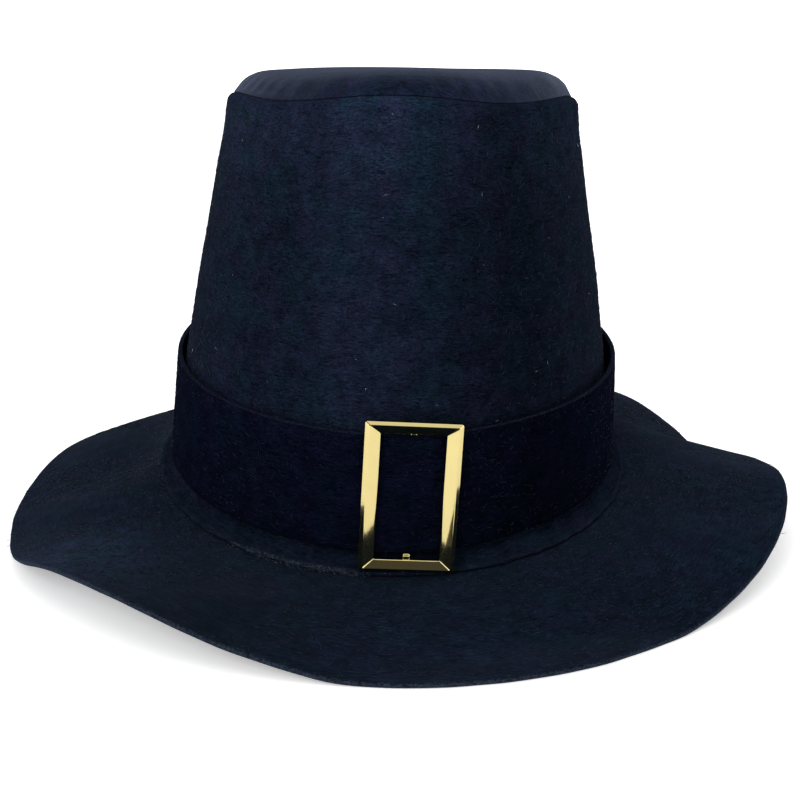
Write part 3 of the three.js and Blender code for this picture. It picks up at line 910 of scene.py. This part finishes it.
def needled_felt(piece, colour, raw_edge):
    """Needled felt: short matted fibres with no weave, so it is dead matt, streaked in every direction,
    and a little pale where it is seen at a grazing angle. Fibre bundles are about 0.7 mm wide and 3 to 4
    mm long, some twenty times as wide as one fibre, so that they show. Dyed in the wool, it drifts to
    teal and to purple, and a raw edge is pale. A per-point attribute scales the colour as painted light
    and shade, where dents, creases and the crown's top face or turn from the light, and the attribute cut
    marks raw edges."""
    level_share, sheen = FELT_FINISH[piece]
    material, tree, shader = new_material(f"{piece}_needled_felt")
    lay = node(tree, "ShaderNodeUVMap", uv_map="felt").outputs["UV"]
    place = node(tree, "ShaderNodeTexCoord").outputs["Object"]
    level = felt_streaks(tree, lay, *LEVEL_STREAKS)
    rising = felt_streaks(tree, lay, *RISING_STREAKS)
    falling = felt_streaks(tree, lay, *FALLING_STREAKS)
    patches = node(tree, "ShaderNodeTexNoise", {"Vector": place, "Scale": 1000 / PATCH_MM, "Detail": 2.0})
    turned = node(tree, "ShaderNodeMapRange", {
        "Value": patches.outputs["Fac"], "From Min": 0.44, "From Max": 0.56, "To Min": 0.0, "To Max": 1.0,
    })
    diagonal = node(tree, "ShaderNodeMix", {0: turned.outputs["Result"], 2: rising, 3: falling})
    drift = node(tree, "ShaderNodeTexNoise", {"Vector": lay, "Scale": 1000 / DRIFT_MM, "Detail": 2.0})
    laid = node(tree, "ShaderNodeMapRange", {
        "Value": drift.outputs["Fac"],
        "From Min": 0.40,
        "From Max": 0.60,
        "To Min": level_share - 0.35,
        "To Max": level_share + 0.35,
    })
    matted = node(tree, "ShaderNodeMix", {0: laid.outputs["Result"], 2: diagonal.outputs[0], 3: level})
    fuzz = node(tree, "ShaderNodeTexNoise", {
        "Vector": place, "Scale": 1000 / FUZZ_MM, "Detail": 2.0, "Roughness": 0.7,
    })
    height = node(tree, "ShaderNodeMix", {0: 0.22, 2: matted.outputs[0], 3: fuzz.outputs["Fac"]})

    tones = node(tree, "ShaderNodeMapRange", {
        "Value": height.outputs[0], "From Min": 0.38, "From Max": 0.64, "To Min": 0.35, "To Max": 1.9,
    })
    mottle = node(tree, "ShaderNodeTexNoise", {
        "Vector": place, "Scale": 1000 / MOTTLE_MM, "Detail": 4.0, "Roughness": 0.6,
    })
    clumps = node(tree, "ShaderNodeMapRange", {
        "Value": mottle.outputs["Fac"], "From Min": 0.34, "From Max": 0.66, "To Min": 0.74, "To Max": 1.3,
    })
    # Painted light and shade: the per-point factor lightens or darkens the dyed colour where the light would
    # fall on dents and creases.
    painted_shading = node(tree, "ShaderNodeAttribute", attribute_name="painted_shading")
    light = node(tree, "ShaderNodeMath", {
        0: tones.outputs["Result"], 1: clumps.outputs["Result"],
    }, operation="MULTIPLY")
    light = node(tree, "ShaderNodeMath", {0: light.outputs[0], 1: painted_shading.outputs["Fac"]}, operation="MULTIPLY")

    blotches = node(tree, "ShaderNodeTexNoise", {
        "Vector": place, "Scale": 1000 / BLOTCH_MM, "Detail": 3.0, "Roughness": 0.6,
    })
    hue = node(tree, "ShaderNodeMapRange", {
        "Value": blotches.outputs["Fac"], "From Min": 0.40, "From Max": 0.60, "To Min": 0.0, "To Max": 1.0,
    })
    tint = node(tree, "ShaderNodeMix", {
        0: hue.outputs["Result"], 6: (0.82, 1.07, 0.98, 1), 7: (1.16, 0.94, 1.04, 1),
    }, data_type="RGBA")
    dye = node(tree, "ShaderNodeMix", {
        0: 1.0, 6: opaque(colour), 7: tint.outputs[2],
    }, data_type="RGBA", blend_type="MULTIPLY")
    dyed = node(tree, "ShaderNodeVectorMath", {
        0: dye.outputs[2], "Scale": light.outputs[0],
    }, operation="SCALE")
    cut = node(tree, "ShaderNodeAttribute", attribute_name="cut")
    ragged = node(tree, "ShaderNodeMapRange", {
        "Value": fuzz.outputs["Fac"], "From Min": 0.4, "From Max": 0.62, "To Min": 0.1, "To Max": 0.8,
    })
    edge = node(tree, "ShaderNodeMath", {
        0: cut.outputs["Fac"], 1: ragged.outputs["Result"],
    }, operation="MULTIPLY")
    finished = node(tree, "ShaderNodeMix", {
        0: edge.outputs[0], 6: dyed.outputs["Vector"], 7: opaque(raw_edge),
    }, data_type="RGBA")
    bump = node(tree, "ShaderNodeBump", {"Height": height.outputs[0], "Strength": 0.5, "Distance": 0.4 * MM})

    tree.links.new(finished.outputs[2], shader.inputs["Base Color"])
    tree.links.new(bump.outputs["Normal"], shader.inputs["Normal"])
    shader.inputs["Roughness"].default_value = 0.95
    shader.inputs["Specular IOR Level"].default_value = 0.0
    shader.inputs["Sheen Weight"].default_value = sheen
    shader.inputs["Sheen Roughness"].default_value = 0.45
    shader.inputs["Sheen Tint"].default_value = (0.48, 0.56, 0.74, 1)
    return material


def loose_fibre(name, dark, light):
    """Single dyed fibres of the nap: smooth round hairs that catch a little light."""
    material, tree, shader = new_material(name)
    tone = node(tree, "ShaderNodeAttribute", attribute_name="tone")
    mixed = node(tree, "ShaderNodeMix", {
        0: tone.outputs["Fac"], 6: opaque(dark), 7: opaque(light),
    }, data_type="RGBA")
    tree.links.new(mixed.outputs[2], shader.inputs["Base Color"])
    shader.inputs["Roughness"].default_value = 0.7
    shader.inputs["Specular IOR Level"].default_value = 0.1
    return material


def polished_gilt(name, colour):
    """Cast zinc, gold plated and buffed: a warm mirror with very fine buffing lines and a slight
    unevenness."""
    material, tree, shader = new_material(name)
    place = node(tree, "ShaderNodeTexCoord").outputs["Object"]
    swirl = node(tree, "ShaderNodeTexNoise", {"Vector": place, "Scale": 160.0, "Detail": 2.0})
    lines = felt_streaks(tree, place, 90, 6.0, 0.12)
    rough = node(tree, "ShaderNodeMapRange", {
        "Value": lines, "From Min": 0.3, "From Max": 0.7, "To Min": 0.05, "To Max": 0.1,
    })
    tone = node(tree, "ShaderNodeMix", {
        0: swirl.outputs["Fac"], 6: opaque(colour, 0.95), 7: opaque(colour, 1.05),
    }, data_type="RGBA")
    bump = node(tree, "ShaderNodeBump", {
        "Height": swirl.outputs["Fac"], "Strength": 0.05, "Distance": 0.3 * MM,
    })
    tree.links.new(tone.outputs[2], shader.inputs["Base Color"])
    tree.links.new(rough.outputs["Result"], shader.inputs["Roughness"])
    tree.links.new(bump.outputs["Normal"], shader.inputs["Normal"])
    shader.inputs["Metallic"].default_value = 1.0
    return material


def place_piece(made, material, node_name=None):
    """Gives a piece its material and its body, and hides the CAD node that it stands for."""
    made.data.materials.append(material)
    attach(made, HAT_BODY)
    if node_name:
        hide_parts(node_name)
    return made


def outward(made):
    """Turns a closed mesh's faces outwards where its signed volume is negative."""
    mesh = made.data
    corners = np.zeros(len(mesh.loops), np.int32)
    mesh.loops.foreach_get("vertex_index", corners)
    points = np.zeros(len(mesh.vertices) * 3)
    mesh.vertices.foreach_get("co", points)
    points = points.reshape(-1, 3)
    size = mesh.polygons[0].loop_total
    faces = corners.reshape(-1, size)
    a, b, c = points[faces[:, 0]], points[faces[:, 1]], points[faces[:, 2]]
    volume = np.sum(a * np.cross(b, c))
    if size == 4:
        volume += np.sum(a * np.cross(c, points[faces[:, 3]]))
    if volume < 0:
        mesh.flip_normals()
    return made


class CrownOperator(Operator):
    """Makes the crown wall with its turned-out foot"""

    bl_idname = "capotain.crown"
    bl_label = "Crown wall"

    def execute(self, context):
        s, colours = context.scene.capotain_sizes, context.scene.capotain_colours
        points, cut, painted_shading = crown_wall_points(s)
        around = TURN * (s.head_half_width + s.head_half_length) / 2
        wall = outward(ring_grid("crown_wall", points, around, cut, painted_shading))
        felt = needled_felt("crown", colours.crown, colours.raw_edge)
        place_piece(wall, felt, "crown_side")
        return {"FINISHED"}


class TipOperator(Operator):
    """Makes the domed crown tip"""

    bl_idname = "capotain.tip"
    bl_label = "Crown tip"

    def execute(self, context):
        s, colours = context.scene.capotain_sizes, context.scene.capotain_colours
        tip = outward(dome_mesh("crown_tip_felt", tip_points(s)))
        felt = needled_felt("tip", colours.tip, colours.raw_edge)
        place_piece(tip, felt, "crown_tip")
        return {"FINISHED"}


class BandOperator(Operator):
    """Makes the felt band"""

    bl_idname = "capotain.band"
    bl_label = "Band"

    def execute(self, context):
        s, colours = context.scene.capotain_sizes, context.scene.capotain_colours
        points, cut, painted_shading = band_points(s)
        around = TURN * (s.head_half_width + s.head_half_length) / 2
        band = outward(ring_grid("band_strip", points, around, cut, painted_shading))
        felt = needled_felt("band", colours.band, colours.raw_edge)
        place_piece(band, felt, "hatband")
        return {"FINISHED"}


class BrimOperator(Operator):
    """Makes the wavy brim"""

    bl_idname = "capotain.brim"
    bl_label = "Brim"

    def execute(self, context):
        s, colours = context.scene.capotain_sizes, context.scene.capotain_colours
        points, cut, painted_shading = brim_grid_points(s)
        around = TURN * ((s.head_half_width + s.head_half_length) / 2 + s.brim_width / 2)
        brim = outward(ring_grid("brim_sheet", points, around, cut, painted_shading))
        felt = needled_felt("brim", colours.brim, colours.raw_edge)
        place_piece(brim, felt, "brim")
        return {"FINISHED"}


class BuckleOperator(Operator):
    """Makes the gilt frame and its centre bar"""

    bl_idname = "capotain.buckle"
    bl_label = "Buckle"

    def execute(self, context):
        s, colours = context.scene.capotain_sizes, context.scene.capotain_colours
        place = buckle_matrix(s)
        rings = buckle_frame_points(s)
        faces = loop_quads(*rings.shape[:2]).reshape(-1, 4)
        gilt_frame = outward(mesh_object("buckle_frame", rings.reshape(-1, 3), faces))
        gilt_frame.data.set_sharp_from_angle(angle=math.radians(22))
        bar_points, bar_faces = capped_rings(tube_between(bar_path(s), BAR_HALF_WIDTH, BAR_HALF_THICKNESS))
        bar = outward(mesh_object("buckle_bar", bar_points, bar_faces))
        material = polished_gilt("polished_gilt", colours.gilt)
        for piece in (gilt_frame, bar):
            piece.data.transform(place)
            place_piece(piece, material)
        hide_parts("buckle")
        return {"FINISHED"}


def bar_path(s):
    """Route of the centre bar: up from the lower rail, back under the band's edge, up behind the band,
    and the same in reverse at the upper rail. The corners are turned with a small radius."""
    clear = 0.3 * MM + BAR_HALF_THICKNESS
    back = s.piece_gap + s.felt + s.band_front_gap / 2
    low = s.band_rise - s.buckle_centre - clear
    high = s.band_rise - s.buckle_centre + s.band_height + clear
    rail = s.buckle_height / 2 - s.buckle_rail / 2
    front = -0.9 * MM
    corners = np.array([
        (front, rail), (front, high), (back, high), (back, low), (front, low), (front, -rail),
    ])
    radius = 0.4 * MM
    points = [corners[0]]
    for before, corner, after in zip(corners[:-2], corners[1:-1], corners[2:]):
        into = (corner - before) / np.linalg.norm(corner - before)
        out = (after - corner) / np.linalg.norm(after - corner)
        for t in np.linspace(0, math.pi / 2, 6):
            points.append(corner - into * radius * (1 - math.sin(t)) + out * radius * (1 - math.cos(t)))
    points.append(corners[-1])
    y, z = np.array(points).T
    return np.stack([0 * y, y, z], -1)


def backdrop_ring(radius, height, turns=96):
    """Upright ring round the floor: its points run round a circle at floor level and again at its
    height."""
    azimuth = np.arange(turns) / turns * TURN
    foot = np.stack([radius * np.cos(azimuth), radius * np.sin(azimuth), 0 * azimuth - 0.01], -1)
    head = foot + [0, 0, height]
    i = np.arange(turns)
    j = (i + 1) % turns
    faces = np.stack([j, i, i + turns, j + turns], -1)
    return mesh_object("lit_backdrop", np.concatenate([foot, head]), faces)


class StageOperator(Operator):
    """Makes the pale floor, the soft lights and the camera"""

    bl_idname = "capotain.stage"
    bl_label = "Stage"

    def execute(self, context):
        scene = context.scene
        colours = scene.capotain_colours
        corners = FLOOR_HALF * np.array([[-1, -1, 0], [1, -1, 0], [1, 1, 0], [-1, 1, 0]])
        floor = mesh_object("pale_floor", corners, np.array([[0, 1, 2, 3]]))
        material, tree, shader = new_material("pale_board")
        grain = node(tree, "ShaderNodeTexNoise", {
            "Vector": node(tree, "ShaderNodeTexCoord").outputs["Object"], "Scale": 8.0, "Detail": 2.0,
        })
        tone = node(tree, "ShaderNodeMix", {
            0: grain.outputs["Fac"], 6: opaque(colours.floor, 0.99), 7: opaque(colours.floor),
        }, data_type="RGBA")
        tree.links.new(tone.outputs[2], shader.inputs["Base Color"])
        shader.inputs["Roughness"].default_value = 0.9
        shader.inputs["Emission Color"].default_value = opaque(colours.floor)
        shader.inputs["Emission Strength"].default_value = FLOOR_GLOW
        floor.data.materials.append(material)

        wall = backdrop_ring(BACKDROP_RADIUS, BACKDROP_HEIGHT)
        paper, tree, shader = new_material("lit_backdrop_paper")
        shader.inputs["Base Color"].default_value = opaque(colours.floor)
        shader.inputs["Emission Color"].default_value = opaque(colours.floor)
        shader.inputs["Emission Strength"].default_value = BACKDROP_GLOW
        wall.data.materials.append(paper)
        wall.visible_diffuse = False
        wall.visible_shadow = False

        dark, tree, shader = new_material("dark_card_paper")
        shader.inputs["Base Color"].default_value = (0.0, 0.0, 0.0, 1)
        shader.inputs["Roughness"].default_value = 1.0
        shader.inputs["Specular IOR Level"].default_value = 0.0
        shader.inputs["Emission Color"].default_value = CARD_GREY
        shader.inputs["Emission Strength"].default_value = 1.0
        for name, outline in DARK_CARDS:
            points = np.array(outline)
            card = mesh_object(name, points, np.arange(len(points))[None, :])
            card.data.materials.append(dark)
            card.visible_camera = False
            card.visible_diffuse = False
            card.visible_shadow = False

        world = bpy.data.worlds.new("studio")
        world.use_nodes = True
        tree = world.node_tree
        background = tree.nodes["Background"]
        sky = node(tree, "ShaderNodeSeparateXYZ", {
            "Vector": node(tree, "ShaderNodeTexCoord").outputs["Generated"],
        })
        dome = node(tree, "ShaderNodeMapRange", {
            "Value": sky.outputs["Z"],
            "From Min": 0.0,
            "From Max": 0.75,
            "To Min": DOME_LOW,
            "To Max": DOME_HIGH,
        })
        background.inputs["Color"].default_value = (1, 1, 1, 1)
        tree.links.new(dome.outputs["Result"], background.inputs["Strength"])
        scene.world = world
        scene.view_settings.view_transform = "Standard"

        for name, place, size, power, aim in LIGHTS:
            light = bpy.data.lights.new(name, "AREA")
            light.shape = "DISK"
            light.size = size
            light.energy = power
            lamp = bpy.data.objects.new(name, light)
            scene.collection.objects.link(lamp)
            lamp.location = place
            lamp.rotation_euler = (Vector(aim) - Vector(place)).to_track_quat("-Z", "Y").to_euler()

        lens = bpy.data.cameras.new("photo_camera")
        lens.sensor_width = 36.0
        lens.lens = CAMERA_FOCAL_PX / PHOTO_SIDE_PX * lens.sensor_width
        lens.clip_start = 0.01
        camera = bpy.data.objects.new("photo_camera", lens)
        scene.collection.objects.link(camera)
        tilt = Matrix.Rotation(math.radians(90 - CAMERA_PITCH_DEG), 4, "X")
        roll = Matrix.Rotation(math.radians(CAMERA_ROLL_DEG), 4, "Z")
        shift = Vector(frame_shift(scene.capotain_sizes))
        camera.matrix_world = Matrix.Translation(Vector(CAMERA_PLACE) + shift) @ tilt @ roll
        scene.camera = camera
        return {"FINISHED"}


class NapOperator(Operator):
    """Scatters loose fibres over the felt, and frays the foot's cut edge"""

    bl_idname = "capotain.nap"
    bl_label = "Nap and fray"

    def execute(self, context):
        s, colours = context.scene.capotain_sizes, context.scene.capotain_colours
        nap = loose_fibre("nap_fibre", colours.band, colours.fibre)
        fray = loose_fibre("fray_fibre", colours.fibre, colours.fray)
        lint = loose_fibre("lint_fibre", colours.fray, linear("#e8eaee"))
        count = s.nap_count

        def wall(u, v):
            azimuth = u * TURN
            low = s.piece_gap + s.felt + s.foot_bend
            top = seam_height(s, azimuth) - s.shoulder_drop
            return lean_over(s, crown_point(s, azimuth, low + (top - low) * v, 0.0))

        def sheet(u, v):
            points = brim_top(s, u * TURN, v)
            points[..., 2] = s.felt + settle(points[..., 2] - s.felt, s.floor_ease)
            return points

        def strip(u, v):
            return lean_over(s, band_point(s, u * TURN, v, s.felt))

        def foot(u, v):
            azimuth = np.radians(np.where(u < 0.8, 233 + u * 40, 265 + (u - 0.8) * 1640))
            return lean_over(s, crown_point(s, azimuth, s.piece_gap + s.felt * v, s.foot_width))

        def side_flow(u, v):
            return 1.1 * np.cos(u * TURN)

        def level_flow(u, v):
            return 0 * u

        naps = [
            ("crown_nap", wall, count, 3, 3.0 * MM, 0.1 * MM, side_flow, "crown_felt"),
            ("brim_nap", sheet, count, 5, 3.0 * MM, 0.1 * MM, level_flow, "brim_felt"),
            ("band_nap", strip, count // 3, 7, 2.6 * MM, 0.08 * MM, level_flow, "band_felt"),
        ]
        for name, surface, fibres, seed, length, radius, flow, slot_name in naps:
            piece = scatter_nap(name, surface, fibres, seed, length, 0.03, radius, flow, 0.8, NAP_SINK)
            place_piece(piece, nap)
        frayed = scatter_nap("foot_fray", foot, 420, 11, 1.5 * MM, 0.4, 0.045 * MM, level_flow, 0.8)
        place_piece(frayed, fray)
        specks = scatter_nap("lint", wall, 60, 13, 2.0 * MM, 0.2, 0.05 * MM, side_flow, 3.0)
        place_piece(specks, lint)
        return {"FINISHED"}


class CapotainPanel(Panel):
    """Lists the steps that build the hat"""

    bl_idname = "VIEW3D_PT_capotain"
    bl_label = "Capotain hat"
    bl_space_type = "VIEW_3D"
    bl_region_type = "UI"
    bl_category = "Capotain"

    def draw(self, context):
        for step in STEPS:
            self.layout.operator(step.bl_idname)


STEPS = (StageOperator, CrownOperator, TipOperator, BandOperator, BrimOperator, BuckleOperator, NapOperator)
CLASSES = (HatSizes, HatColours, *STEPS, CapotainPanel)


def register():
    for cls in CLASSES:
        bpy.utils.register_class(cls)
    bpy.types.Scene.capotain_sizes = PointerProperty(type=HatSizes)
    bpy.types.Scene.capotain_colours = PointerProperty(type=HatColours)


def unregister():
    del bpy.types.Scene.capotain_colours
    del bpy.types.Scene.capotain_sizes
    for cls in reversed(CLASSES):
        bpy.utils.unregister_class(cls)


def main():
    """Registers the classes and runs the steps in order."""
    register()
    for step in STEPS:
        group, name = step.bl_idname.split(".")
        getattr(getattr(bpy.ops, group), name)()


if __name__ == "__main__":
    main()
